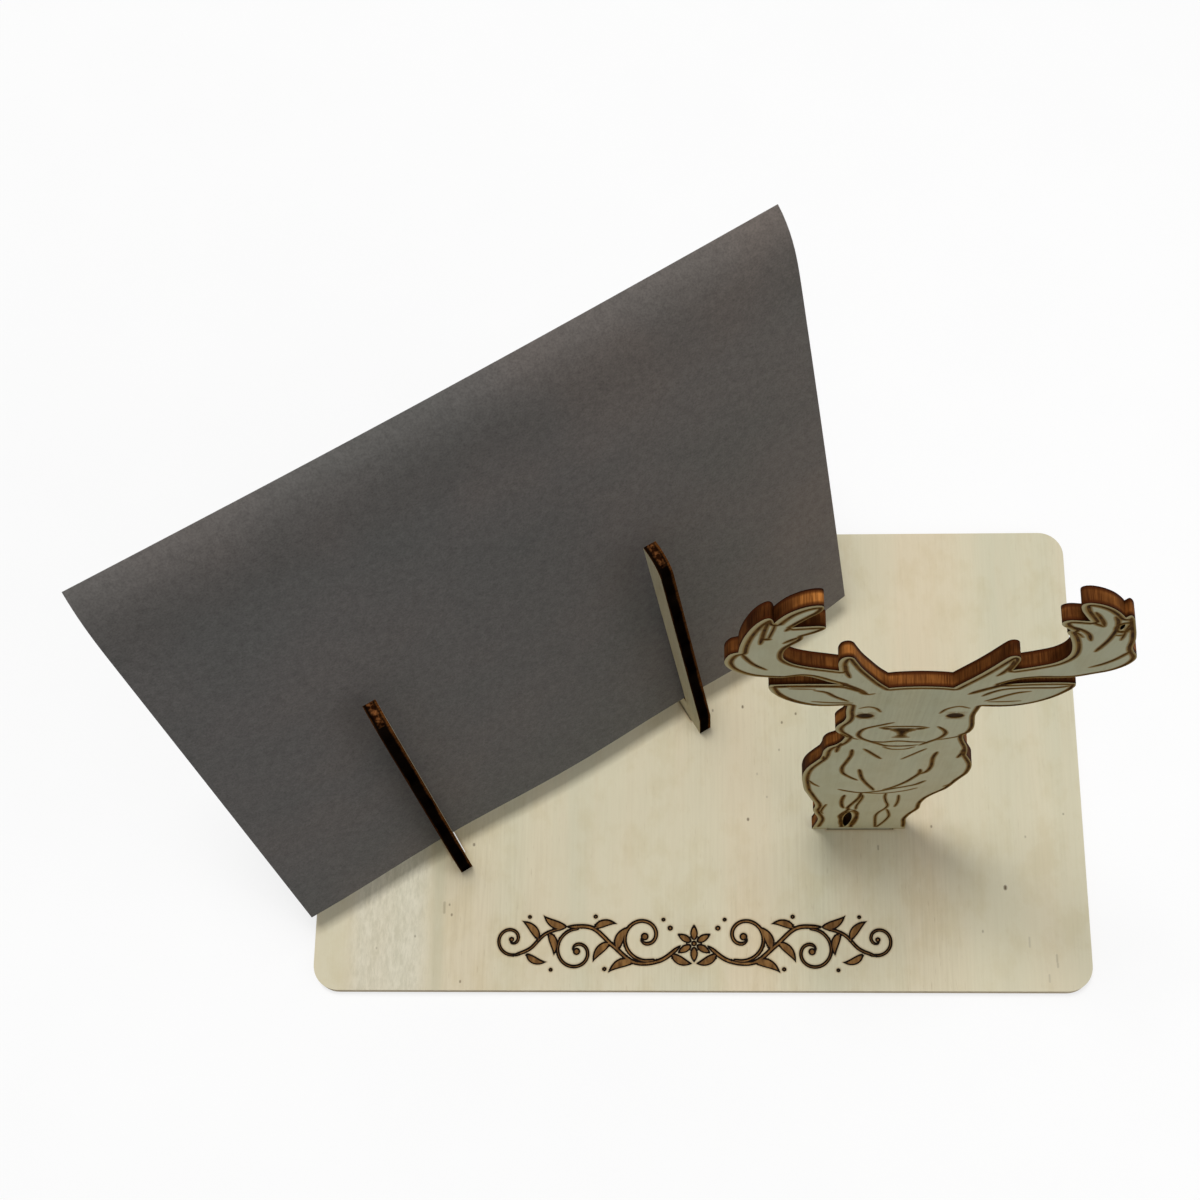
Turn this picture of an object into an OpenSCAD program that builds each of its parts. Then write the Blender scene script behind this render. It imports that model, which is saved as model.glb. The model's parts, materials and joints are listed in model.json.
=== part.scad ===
// Card stand cut from thin plywood: a rounded base plate, two slotted forks that hold a card
// upright and leaning back, and a stag figure that plugs into the plate beside them.
// Millimetres. The origin is the middle of the plate's underside, +Z is up and -Y is the front.

/* [Plywood] */
// Thickness of the sheet that the plate, forks and figure are cut from
plate_t = 3; // [2:0.5:5]
// Clearance between a tab and its mortise, on each side
mortise_gap = 0.2; // [0.1:0.05:0.4]
// How far a tab's end stops above the plate's underside
tab_recess = 0.3; // [0.1:0.1:1]

/* [Base plate] */
// Width of the plate, left to right
base_w = 182; // [160:1:220]
// Depth of the plate, front to back
base_d = 114; // [105:1:150]
// Radius of the plate's corners
corner_r = 6; // [1:0.5:15]

/* [Slot line] */
// Angle between the line of slots and the plate's front edge
slot_line_a = 31; // [20:1:40]
// Left end of the slot line, in from the plate's left edge (negative is outside it)
slot_line_in = -0.3; // [-10:0.1:10]
// Left end of the slot line, back from the plate's front edge
slot_line_back = 17.2; // [12:0.1:30]
// Distance along the slot line to the left fork
left_fork_s = 36.5; // [20:0.5:50]
// Distance between the two forks
fork_pitch = 66.5; // [40:0.5:80]

/* [Forks] */
// Width of the slot between a fork's prongs
slot_w = 5; // [3:0.5:8]
// Width of a prong
prong_w = 6.4; // [4:0.2:9]
// Length of a prong above the slot's floor
prong_l = 69; // [40:1:90]
// How far a fork leans back
fork_lean = 13.1; // [5:0.1:20]
// Height of the slot's floor above the plate
slot_floor = 8.5; // [5:0.5:12]
// Height of the foot's upright front and back
foot_h = 10.5; // [8:0.5:14]
// Radius of a prong's outer top corner
prong_r = 4.5; // [1:0.5:6]
// Width of a fork's tab
fork_tab_w = 10; // [6:0.5:14]

/* [Card] */
// Width of the card
card_w = 148.5; // [120:0.5:180]
// Length of the card from its foot to its curled top edge
card_l = 131.8; // [105:0.5:160]
// Thickness of the card
card_t = 0.45; // [0.3:0.05:1]
// Gap between the slot's front wall and the card's foot
card_foot_gap = 1.1; // [0.5:0.1:3]
// Gap between the card and what it rests on and leans on
seat_gap = 0.2; // [0.1:0.05:0.4]
// Length of the card's curled top
curl_l = 22; // [5:1:40]
// How much further back than the card the top edge tilts
curl_a = 52; // [0:1:70]
// How far the card's right foot corner bends back behind the slots
corner_bend = 2.5; // [0:0.1:4]
// How far the card bows forward on both sides of each fork and at its top edge
bow = 0.8; // [0:0.1:1.2]

/* [Figure] */
// Width of the stag across its antlers
figure_w = 70.5; // [50:0.5:90]
// Height of the stag above the plate
figure_h = 159; // [110:1:200]
// Middle line of the stag's head, in from the plate's right edge
figure_in = 50; // [42:0.5:70]
// Front face of the stag, back from the plate's front edge
figure_back = 38.4; // [25:0.2:50]
// Width of the stag's tab
figure_tab_w = 15.5; // [8:0.5:20]

/* [Hidden] */

ply_colour = "#cfc8a8";
figure_colour = "#c8c8b2";
card_colour = "#524e4a";

eps = 0.01;
tab_d = plate_t - tab_recess;
slot_line_x = slot_line_in - base_w / 2;
slot_line_y = slot_line_back - base_d / 2;

// A point of a fork's leaning frame: p across the slot, q up along it, from the slot floor's middle.
function leaning(p, q) = [
    p * cos(fork_lean) + q * sin(fork_lean),
    slot_floor - p * sin(fork_lean) + q * cos(fork_lean)
];
// Where the leaning line at p crosses a height above the plate.
function leaning_u(p, z) = p / cos(fork_lean) + (z - slot_floor) * tan(fork_lean);

fork_half = slot_w / 2 + prong_w;
foot_front = leaning_u(-fork_half, foot_h);
foot_rear = leaning_u(fork_half, foot_h);
fork_tab_u = (foot_front + foot_rear) / 2;

// The card's rear foot edge stands on the slot's floor, and its back leans on the rear prong's tip.
card_foot_p = card_foot_gap + card_t - slot_w / 2;
card_foot = leaning(card_foot_p, seat_gap);
prong_tip = leaning(slot_w / 2, prong_l);
foot_to_tip = prong_tip - card_foot;
card_lean = atan2(foot_to_tip[0], foot_to_tip[1]) - asin(seat_gap / norm(foot_to_tip));

// Steps of the card's grid, across and up, and of a rounded prong's corner.
card_cols = 18;
card_straight_rows = 6;
card_curl_rows = 12;
arc_steps = 10;

// Places its child, drawn in the plane square to the card, at distance s along the slot line.
module on_slot_line(s) {
    translate([slot_line_x, slot_line_y, plate_t])
        rotate([0, 0, slot_line_a])
            translate([s, 0, 0])
                rotate([0, 0, 90])
                    rotate([90, 0, 0])
                        children();
}

function arc(centre, r, from, to) = [
    for (i = [0:arc_steps])
        let (a = from + (to - from) * i / arc_steps)
            centre + r * [cos(a), sin(a)]
];

// A smooth curve through the points, without its last one.
function blend(a, b, c, d, t) = 0.5 * (
    2 * b + (c - a) * t + (2 * a - 5 * b + 4 * c - d) * t ^ 2 + (3 * b - a - 3 * c + d) * t ^ 3
);
function smooth(points, steps) = [
    for (i = [0:len(points) - 2])
        let (
            b = points[i],
            c = points[i + 1],
            a = i == 0 ? 2 * b - c : points[i - 1],
            d = i == len(points) - 2 ? 2 * c - b : points[i + 2]
        )
            for (k = [0:steps - 1])
                blend(a, b, c, d, k / steps)
];

// Base plate with a mortise for each tab.

module rounded_rectangle(w, d, r) {
    square([w - 2 * r, d], center = true);
    square([w, d - 2 * r], center = true);
    for (x = [-1, 1], y = [-1, 1])
        translate([x * (w / 2 - r), y * (d / 2 - r)])
            circle(r, $fn = 64);
}

module fork_mortise(s) {
    on_slot_line(s)
        translate([fork_tab_u, -plate_t / 2, 0])
            cube([fork_tab_w + 2 * mortise_gap, plate_t + 2 * eps, plate_t + 2 * mortise_gap], center = true);
}

module figure_mortise() {
    translate([figure_x + figure_tab_x, figure_y + plate_t / 2, plate_t / 2])
        cube([figure_tab_w + 2 * mortise_gap, plate_t + 2 * mortise_gap, plate_t + 2 * eps], center = true);
}

module base_plate() {
    color(ply_colour)
        difference() {
            linear_extrude(plate_t)
                rounded_rectangle(base_w, base_d, corner_r);
            fork_mortise(left_fork_s);
            fork_mortise(left_fork_s + fork_pitch);
            figure_mortise();
        }
}

// Forks: two leaning prongs on a square foot, with a tab below it.

// The outer top corner of the prong on one side, 1 for the rear and -1 for the front.
function prong_corner(side) = [
    for (p = arc([fork_half - prong_r, prong_l - prong_r], prong_r, 0, 90))
        leaning(side * p[0], p[1])
];
function reversed(list) = [for (i = [len(list) - 1:-1:0]) list[i]];

fork_outline = concat(
    [
        [foot_front, 0],
        [fork_tab_u - fork_tab_w / 2, 0],
        [fork_tab_u - fork_tab_w / 2, -tab_d],
        [fork_tab_u + fork_tab_w / 2, -tab_d],
        [fork_tab_u + fork_tab_w / 2, 0],
        [foot_rear, 0],
        [foot_rear, foot_h]
    ],
    prong_corner(1),
    [
        leaning(slot_w / 2, prong_l),
        leaning(slot_w / 2, 0),
        leaning(-slot_w / 2, 0),
        leaning(-slot_w / 2, prong_l)
    ],
    reversed(prong_corner(-1)),
    [[foot_front, foot_h]]
);

module fork(s) {
    color(ply_colour)
        on_slot_line(s)
            translate([0, 0, -plate_t / 2])
                linear_extrude(plate_t)
                    polygon(fork_outline);
}

module left_fork() {
    fork(left_fork_s);
}

module right_fork() {
    fork(left_fork_s + fork_pitch);
}

// Card: a thin sheet, flat up to its top, which curls back, and slightly bowed along both edges.

// Tilt of the sheet at a length v above its foot, and its middle line as a sum of short steps.
function tilt(v) = card_lean + curl_a * (max(0, v - card_l + curl_l) / curl_l) ^ 3;
card_v = concat(
    [for (i = [0:card_straight_rows - 1]) (card_l - curl_l) * i / card_straight_rows],
    [for (i = [0:card_curl_rows]) card_l - curl_l + curl_l * i / card_curl_rows]
);
function run_up(v, i = 0, at = [0, 0]) =
    i == len(v) - 1
        ? [at]
        : let (a = tilt((v[i] + v[i + 1]) / 2), step = v[i + 1] - v[i])
            concat([at], run_up(v, i + 1, at + step * [sin(a), cos(a)]));
card_line = run_up(card_v);

// The foot is straight at the forks, bows forward between and beyond them, and bends back at the
// right corner. This fades with height, and the top edge has one shallow bow.
function foot_wave(s) =
    let (right_fork_s = left_fork_s + fork_pitch)
        bow * (1 - cos(360 * (s - left_fork_s) / fork_pitch)) / 2
            - corner_bend * (max(0, s - right_fork_s) / (card_w - right_fork_s)) ^ 2;
function bow_at(s, v) =
    foot_wave(s) * (1 - v / card_l) ^ 2 + bow * sin(180 * s / card_w) * (v / card_l) ^ 2;

// Front (side 1) and rear (side 0) of the sheet at one grid point, as u, z and s.
function card_point(i, j, side) =
    let (
        s = card_w * i / card_cols,
        v = card_v[j],
        across = [cos(tilt(v)), -sin(tilt(v))],
        at = card_foot + card_line[j] - across * side * card_t - [bow_at(s, v), 0]
    )
        [at[0], at[1], s];

card_rows = len(card_v) - 1;
function card_id(i, j, side) = (i * (card_rows + 1) + j) * 2 + side;

// Two triangles on the four corners of a cell, wound outwards.
function cell(a, b, c, d) = [[a, b, c], [a, c, d]];

module card_sheet() {
    points = [
        for (i = [0:card_cols], j = [0:card_rows], side = [0, 1])
            card_point(i, j, side)
    ];
    broad = [
        for (i = [0:card_cols - 1], j = [0:card_rows - 1])
            each concat(
                cell(card_id(i, j, 0), card_id(i + 1, j, 0), card_id(i + 1, j + 1, 0), card_id(i, j + 1, 0)),
                cell(card_id(i, j, 1), card_id(i, j + 1, 1), card_id(i + 1, j + 1, 1), card_id(i + 1, j, 1))
            )
    ];
    sides = [
        for (j = [0:card_rows - 1])
            each concat(
                cell(card_id(0, j, 1), card_id(0, j, 0), card_id(0, j + 1, 0), card_id(0, j + 1, 1)),
                cell(card_id(card_cols, j, 0), card_id(card_cols, j, 1),
                     card_id(card_cols, j + 1, 1), card_id(card_cols, j + 1, 0))
            )
    ];
    ends = [
        for (i = [0:card_cols - 1])
            each concat(
                cell(card_id(i, 0, 1), card_id(i + 1, 0, 1), card_id(i + 1, 0, 0), card_id(i, 0, 0)),
                cell(card_id(i, card_rows, 0), card_id(i + 1, card_rows, 0),
                     card_id(i + 1, card_rows, 1), card_id(i, card_rows, 1))
            )
    ];
    polyhedron(points, concat(broad, sides, ends));
}

module card() {
    color(card_colour)
        on_slot_line(0)
            card_sheet();
}

// Stag figure, seen from the front. Its outline is drawn 69 wide and 166 high, with x from the
// middle line of the head and y from the foot, as smooth strokes that meet at corners.

drawn_w = 69;
drawn_h = 166;
figure_x = base_w / 2 - figure_in;
figure_y = figure_back - base_d / 2;
figure_tab_x = -2.75 * figure_w / drawn_w;

right_leg = [
    [7.7, 0], [7.4, 6], [7, 11], [7.8, 16.5], [8.7, 20], [9, 22.5], [8.9, 27], [9.6, 32],
    [11.1, 36.5], [12.8, 40.5], [13.7, 44.5], [14.6, 49.5], [15.7, 54.5], [15.9, 59], [15.6, 63],
    [14.6, 67], [13.6, 70.5]
];
right_neck = [[13.6, 70.5], [13.4, 74], [12.9, 77.5], [12, 81], [11.4, 84], [11.2, 86.3]];
right_cheek = [
    [11.2, 86.3], [12.1, 88], [12.5, 91], [12.4, 94], [12, 97.5], [11.7, 101], [11.9, 105], [12, 106.7]
];
right_ear = [
    [12, 106.7], [15.5, 106.5], [18.5, 107.2], [21.5, 109.2], [24.2, 112.6], [26, 116.5],
    [26.8, 119.5], [26.6, 121.8]
];
right_ear_top = [[26.6, 121.8], [24, 122.2], [19, 122], [13.5, 121.2]];
right_beam = [
    [13.5, 121.2], [15, 122.9], [17, 124.5], [19.5, 125.2], [23, 125.1], [25.8, 125.6], [28.5, 127.3],
    [31.2, 129.2], [33.2, 132.2], [34.1, 135.5], [33.9, 138.2], [33, 140.4]
];
right_outer_tine = [
    [33, 140.4], [32.3, 143], [32, 147], [31.3, 151], [30.4, 155], [29.6, 158.3], [28.7, 160], [28.1, 158.8]
];
right_top_tine = [
    [28.1, 158.8], [27, 161], [25.4, 163.4], [23.4, 165.3], [21.4, 166.2], [20.2, 165.4], [20.5, 163],
    [21.5, 160.3], [22.9, 157]
];
right_inner_tine = [
    [22.9, 157], [21.2, 157.4], [19.6, 157.6], [18.6, 156.6], [18.8, 155], [19.7, 153.6], [20.6, 152.4]
];
right_beam_top = [
    [20.6, 152.4], [20.2, 151.2], [20.8, 149.6], [21.7, 146.5], [22.4, 143], [22.7, 139.5], [22.2, 136.5],
    [20.8, 134], [18.5, 132.2], [16.3, 130.9], [14.5, 130]
];
right_brow_tine = [
    [14.5, 130], [14.8, 133], [15, 135.8], [14.6, 137.6], [13.8, 138.3], [12.9, 137.8], [11.9, 135.2],
    [10.5, 131], [8.8, 126.5], [7, 122.3], [5.6, 119]
];
crown = [[5.6, 119], [3.6, 119.6], [0, 120], [-3.8, 119.6], [-5.8, 119]];
left_brow_tine = [
    [-5.8, 119], [-7.6, 122.3], [-9.6, 127], [-11.2, 131], [-12.4, 134.8], [-13.2, 137.4], [-14.2, 138.2],
    [-15.2, 137.2], [-15.6, 134.5], [-15.4, 131.8], [-15.2, 130]
];
left_beam_top = [
    [-15.2, 130], [-17.5, 131], [-20.5, 132.3], [-23.2, 134.2], [-24.9, 137], [-25.2, 140.2],
    [-24.7, 143.2], [-23.4, 145.8], [-22.3, 148], [-22.2, 149.8]
];
left_inner_tine = [
    [-22.2, 149.8], [-20.6, 151.3], [-19.1, 153.2], [-18.8, 154.6], [-19.8, 155.3], [-22, 155], [-24.2, 154.6]
];
left_top_tine = [
    [-24.2, 154.6], [-23, 157], [-21.6, 159.6], [-20.2, 162], [-19.6, 164.2], [-20, 165.6], [-21.6, 165.4],
    [-23.4, 164], [-25.2, 161.6], [-26.4, 159], [-27.2, 156.8]
];
left_outer_tine = [
    [-27.2, 156.8], [-27.5, 158.6], [-28.1, 159.4], [-29, 158.6], [-30.2, 156], [-31.2, 152.5],
    [-32, 148.5], [-32.5, 144.5], [-32.7, 141]
];
left_beam = [
    [-32.7, 141], [-34, 140], [-34.8, 137.5], [-35, 134.8], [-34.2, 131.6], [-32.4, 128.8], [-30.2, 127],
    [-27.8, 126.2], [-25, 125.8], [-23.6, 126.3], [-21.8, 127], [-20, 126.4], [-18.2, 124.8],
    [-16.4, 123], [-14.6, 121.6]
];
left_ear_top = [[-14.6, 121.6], [-19, 121.8], [-24, 121.7], [-26.9, 121.4]];
left_ear = [
    [-26.9, 121.4], [-27.1, 119.4], [-26.3, 116.2], [-24.6, 112.8], [-22.3, 110], [-19.6, 108],
    [-16.8, 107.2], [-12.4, 107.6]
];
left_cheek = [
    [-12.4, 107.6], [-12.4, 103.5], [-12.1, 99.5], [-12.4, 96.5], [-13.3, 93.8], [-13.7, 91.2],
    [-13.2, 88.6], [-12, 86.2], [-11.4, 84.8]
];
left_neck = [[-11.4, 84.8], [-11.9, 81.6], [-12.9, 78.9], [-14.3, 76.9], [-15, 74], [-15.1, 70.6], [-15.4, 67.6]];
left_leg = [
    [-15.4, 67.6], [-16.4, 64.4], [-17.6, 60], [-18.2, 55.5], [-18.3, 50.5], [-17.9, 45], [-17.4, 40],
    [-16.5, 35.6], [-15.4, 30.4], [-14.6, 27], [-14.3, 23.5], [-14.6, 20.4], [-14.1, 16.8], [-13.3, 13],
    [-13, 9.5], [-13.4, 4.5], [-13.9, 0]
];
stag_strokes = [
    right_leg, right_neck, right_cheek, right_ear, right_ear_top, right_beam, right_outer_tine,
    right_top_tine, right_inner_tine, right_beam_top, right_brow_tine, crown, left_brow_tine,
    left_beam_top, left_inner_tine, left_top_tine, left_outer_tine, left_beam, left_ear_top, left_ear,
    left_cheek, left_neck, left_leg
];

// The gap between the legs and the slit in the right antler, both cut through.
leg_gap = [
    [-6.4, 2.4], [-5.7, 6], [-5.4, 11], [-5.6, 15], [-6.2, 17.8], [-6.9, 16], [-7.3, 12], [-7.1, 6.5], [-6.4, 2.4]
];
antler_slit = [
    [28.5, 152.4], [28.8, 153.4], [28.8, 154.6], [28.6, 155.4], [28.2, 154.6], [28.2, 153.4], [28.5, 152.4]
];

outline_steps = 3;
stag_outline = concat([for (stroke = stag_strokes) each smooth(stroke, outline_steps)], [left_leg[len(left_leg) - 1]]);

module stag_figure() {
    color(figure_colour)
        translate([figure_x, figure_y + plate_t, plate_t])
            rotate([90, 0, 0])
                linear_extrude(plate_t) {
                    scale([figure_w / drawn_w, figure_h / drawn_h])
                        difference() {
                            polygon(stag_outline);
                            polygon(smooth(leg_gap, outline_steps));
                            polygon(smooth(antler_slit, outline_steps));
                        }
                    translate([figure_tab_x - figure_tab_w / 2, -tab_d])
                        square([figure_tab_w, tab_d + eps]);
                }
}

base_plate();
left_fork();
right_fork();
stag_figure();
card();
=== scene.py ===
"""Looks of the gift card holder: a laser-cut plywood stand with a stag, and a dark grey card.

The CAD frame gives every place. This script adds the engraved wood skins, the ornament, the
finishes, the light and the camera. Lengths below are in millimetres unless a name says otherwise.
"""

import json
import math

import bmesh
import bpy
import numpy as np
from mathutils import Matrix, Vector
from mathutils.geometry import delaunay_2d_cdt

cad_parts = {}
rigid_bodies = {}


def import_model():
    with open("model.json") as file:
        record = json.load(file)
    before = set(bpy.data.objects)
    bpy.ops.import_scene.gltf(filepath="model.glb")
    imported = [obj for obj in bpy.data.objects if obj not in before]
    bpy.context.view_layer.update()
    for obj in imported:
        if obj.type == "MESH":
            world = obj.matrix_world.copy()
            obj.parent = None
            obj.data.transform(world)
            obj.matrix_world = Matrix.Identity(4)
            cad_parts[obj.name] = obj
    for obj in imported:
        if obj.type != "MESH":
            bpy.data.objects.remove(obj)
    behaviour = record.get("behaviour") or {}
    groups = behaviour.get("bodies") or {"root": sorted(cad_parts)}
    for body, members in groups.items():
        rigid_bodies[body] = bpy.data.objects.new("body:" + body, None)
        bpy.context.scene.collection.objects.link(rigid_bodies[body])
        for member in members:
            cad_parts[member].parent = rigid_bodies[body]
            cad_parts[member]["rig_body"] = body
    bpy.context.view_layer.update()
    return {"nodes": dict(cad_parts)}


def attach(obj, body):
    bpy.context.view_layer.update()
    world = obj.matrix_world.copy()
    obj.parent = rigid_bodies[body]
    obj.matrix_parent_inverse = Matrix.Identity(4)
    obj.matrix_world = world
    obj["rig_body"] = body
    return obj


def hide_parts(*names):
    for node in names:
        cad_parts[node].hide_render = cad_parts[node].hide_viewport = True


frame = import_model()

MM = 0.001
X, Y, Z = Vector((1, 0, 0)), Vector((0, 1, 0)), Vector((0, 0, 1))
PLATE_T = 3.0

# The fork line: its direction, and how far along it each fork stands from its left end.
SLOT_ANGLE = math.radians(31)
SLOT_LINE_WAY = (math.cos(SLOT_ANGLE), math.sin(SLOT_ANGLE), 0)
SLOT_LINE_LEFT = (-91.3, -39.8)
FORK_PLACES = {"left_fork": 36.5, "right_fork": 103.0}

# The figure's place, and the scales that bring the stag's drawing to its size.
FIGURE_X = 41.0
FIGURE_FRONT_Y = -18.6
DRAWN_TO_X = 70.5 / 69
DRAWN_TO_Z = 159 / 166

# Curves, and distances to them. A stroke is a pair: its centre points, about a step apart, and
# their half-widths. Its ends taper over this length.
POINT_STEP = 0.45
TAPER = 1.6
# The least half-width of a leaf, of a row of points round a stroke, and of such a row's caps.
THINNEST = 0.06
THINNEST_ROW = 0.05
THINNEST_CAP = 0.12
# Distances to strokes are found up to this one, and for so many points at a time.
REACH = 2.5
BLOCK = 4000
TINY = 1e-12


def smooth_path(points):
    """Points about one step apart on a smooth curve through the given ones."""
    given = np.array(points, float)
    if len(given) < 3:
        count = max(2, int(np.linalg.norm(given[-1] - given[0]) / POINT_STEP) + 2)
        share = np.linspace(0, 1, count)[:, None]
        return given[0] * (1 - share) + given[-1] * share
    padded = np.vstack([2 * given[0] - given[1], given, 2 * given[-1] - given[-2]])
    made = []
    for i in range(1, len(padded) - 2):
        before, start, end, after = padded[i - 1 : i + 3]
        count = max(1, int(np.linalg.norm(end - start) / POINT_STEP + 0.5))
        for t in np.arange(count) / count:
            bent = 2 * start + (end - before) * t
            bent = bent + (2 * before - 5 * start + 4 * end - after) * t**2
            bent = bent + (3 * start - before - 3 * end + after) * t**3
            made.append(0.5 * bent)
    made.append(given[-1])
    return np.array(made)


def stroke(points, width, ends=(0.35, 0.35)):
    """A burnt line that tapers at both ends. They are given as shares of its full width."""
    centre = smooth_path(points)
    run = np.concatenate([[0], np.cumsum(np.linalg.norm(np.diff(centre, axis=0), axis=1))])
    taper = max(1e-6, min(TAPER, run[-1] / 2))
    start = ends[0] + (1 - ends[0]) * np.clip(run / taper, 0, 1) ** 0.7
    finish = ends[1] + (1 - ends[1]) * np.clip((run[-1] - run) / taper, 0, 1) ** 0.7
    return centre, width / 2 * np.minimum(start, finish)


def leaf(root, angle, length, width, bend):
    """A pointed leaf as one stroke. Its centre line bends, and its width swells between two tips."""
    share = np.linspace(0, 1, max(8, int(length / 0.4)))
    heading = math.radians(angle)
    along = np.array([math.cos(heading), math.sin(heading)])
    aside = np.array([-along[1], along[0]])
    centre = np.array(root) + np.outer(share * length, along)
    centre += np.outer(bend * length * 4 * share * (1 - share), aside)
    swell = np.sin(math.pi * share**0.75) ** 0.8
    return centre, np.maximum(THINNEST, width / 2 * swell)


def dot(place, radius):
    """A round spot as a very short stroke."""
    x, y = place
    return np.array([[x - 0.01, y], [x + 0.01, y]]), np.array([radius, radius])


def spiral(centre, first_radius, last_radius, first_angle, last_angle, count):
    """Points of a curl, from its outer end inwards."""
    share = np.linspace(0, 1, count)
    radius = first_radius + (last_radius - first_radius) * share
    angle = np.radians(first_angle + (last_angle - first_angle) * share)
    return np.stack([centre[0] + radius * np.cos(angle), centre[1] + radius * np.sin(angle)], 1)


def distance_to_lines(points, starts, ends, start_r=None, end_r=None):
    """Least distance from each point to the segments, less the segments' half-widths."""
    best = np.full(len(points), 1e9)
    if start_r is None:
        start_r = np.zeros(len(starts))
        end_r = start_r
    span = ends - starts
    length2 = np.maximum((span**2).sum(1), TINY)
    for first in range(0, len(points), BLOCK):
        block = points[first : first + BLOCK]
        rel = block[:, None, :] - starts[None]
        share = np.clip((rel * span[None]).sum(2) / length2[None], 0, 1)
        away = np.linalg.norm(rel - share[:, :, None] * span[None], axis=2)
        radius = start_r[None] * (1 - share) + end_r[None] * share
        best[first : first + BLOCK] = (away - radius).min(1)
    return best


def distance_to_strokes(points, strokes):
    """Signed distance to the nearest stroke's border, below 0 inside a stroke."""
    best = np.full(len(points), REACH)
    for centre, radius in strokes:
        low = centre.min(0) - REACH - radius.max()
        high = centre.max(0) + REACH + radius.max()
        near = np.nonzero(((points > low) & (points < high)).all(1))[0]
        if len(near):
            rods = centre[:-1], centre[1:], radius[:-1], radius[1:]
            best[near] = np.minimum(best[near], distance_to_lines(points[near], *rods))
    return best


def rows_along(strokes, levels):
    """Points along both borders of each stroke, at the given signed distances from them."""
    made = []
    for centre, radius in strokes:
        heading = np.gradient(centre, axis=0)
        heading /= np.maximum(np.linalg.norm(heading, axis=1), 1e-9)[:, None]
        aside = np.stack([-heading[:, 1], heading[:, 0]], 1)
        made.append(centre)
        for level in levels:
            out = radius + level
            kept = out > THINNEST_ROW
            for side in (-1, 1):
                made.append((centre + side * out[:, None] * aside)[kept])
            # Round caps, so that the ends and the dots are as fine as the sides.
            for end, way in ((0, -1), (-1, 1)):
                if out[end] > THINNEST_CAP:
                    turns = np.linspace(-80, 80, max(4, int(out[end] * 9)))
                    for turn in np.radians(turns):
                        ahead = way * heading[end] * math.cos(turn)
                        outward = ahead + aside[end] * math.sin(turn)
                        made.append((centre[end] + out[end] * outward)[None])
    return np.vstack(made)


def segments(loops):
    """The starts and the ends of the closed loops' sides."""
    return np.vstack(loops), np.vstack([np.roll(loop, -1, 0) for loop in loops])


def smoothstep(values, low, high):
    """Shares that rise smoothly from 0 at low to 1 at high."""
    share = np.clip((values - low) / (high - low), 0, 1)
    return share * share * (3 - 2 * share)


# Fine skins on CAD faces. These are the slots of their materials.
FACE, SIDE, BACK, HOLE = range(4)
WIDEST_HOLE = 30
# A face looks along an axis above this cosine. Edges that bend more than this many degrees show.
FACING = 0.999
SKIN_CREASE = 28
# Points of a skin keep about this far apart, and this far from the outline.
SKIN_GRID = 0.06
RIM_GAP = 0.12
# Corners that are closer than these are joined, and what is this close to a level lies on it.
WELD = 0.0005
SEAM = 0.0008
TOUCH = 0.01


def inside(points, loops):
    """True where a point lies inside the outer loop and outside the holes."""
    starts, ends = segments(loops)
    found = np.zeros(len(points), bool)
    for first in range(0, len(points), BLOCK):
        x, y = points[first : first + BLOCK].T
        crosses = (starts[None, :, 1] > y[:, None]) != (ends[None, :, 1] > y[:, None])
        side, rise = (ends - starts).T
        rise = np.where(np.abs(rise) < TINY, TINY, rise)
        at = starts[None, :, 0] + (y[:, None] - starts[None, :, 1]) / rise[None] * side
        found[first : first + BLOCK] = (crosses & (x[:, None] < at)).sum(1) % 2 == 1
    return found


def welded_copy(node):
    """A bmesh of a CAD node in millimetres, with the corners that its faces share joined."""
    bm = bmesh.new()
    bm.from_mesh(frame["nodes"][node].data)
    bmesh.ops.scale(bm, vec=(1 / MM,) * 3, verts=bm.verts)
    bmesh.ops.remove_doubles(bm, verts=bm.verts, dist=WELD)
    bm.normal_update()
    return bm


def face_loops(faces, u_axis, v_axis):
    """The outlines of a flat patch of faces, each an array of flat points, wood on the left."""
    patch = set(faces)
    following = {}
    for face in faces:
        for corner in face.loops:
            others = [f for f in corner.edge.link_faces if f is not face]
            if not any(f in patch for f in others):
                following[corner.vert] = corner.link_loop_next.vert
    loops = []
    while following:
        vert = next(iter(following))
        loop = []
        while vert in following:
            loop.append((vert.co.dot(u_axis), vert.co.dot(v_axis)))
            vert = following.pop(vert)
        loops.append(np.array(loop))
    return loops


def holes(loops):
    """Those outlines that are small enough to be holes."""
    return [loop for loop in loops if np.ptp(loop, axis=0).max() < WIDEST_HOLE]


def outline_rows(loops, distances, shift):
    """Points at the given distances inside the outline, for a line that follows it."""
    made = []
    for loop in loops:
        ends = np.roll(loop, -1, 0)
        headings = ends - loop
        lengths = np.linalg.norm(headings, axis=1)
        normals = np.stack([-headings[:, 1], headings[:, 0]], 1) / lengths[:, None]
        for i, (start, end) in enumerate(zip(loop, ends)):
            count = max(1, int(lengths[i] / POINT_STEP))
            for t in (np.arange(count) + 0.5) / count:
                place = start * (1 - t) + end * t
                made += [place + normals[i] * d for d in distances]
            # At a corner that turns away from the wood, the line runs round it in an arc.
            before = normals[i - 1]
            if np.cross(before, normals[i]) < -0.15:
                for t in (0.2, 0.5, 0.8):
                    between = before * (1 - t) + normals[i] * t
                    between /= np.linalg.norm(between)
                    made += [start + between * d for d in distances]
    return np.array(made) + shift


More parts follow.
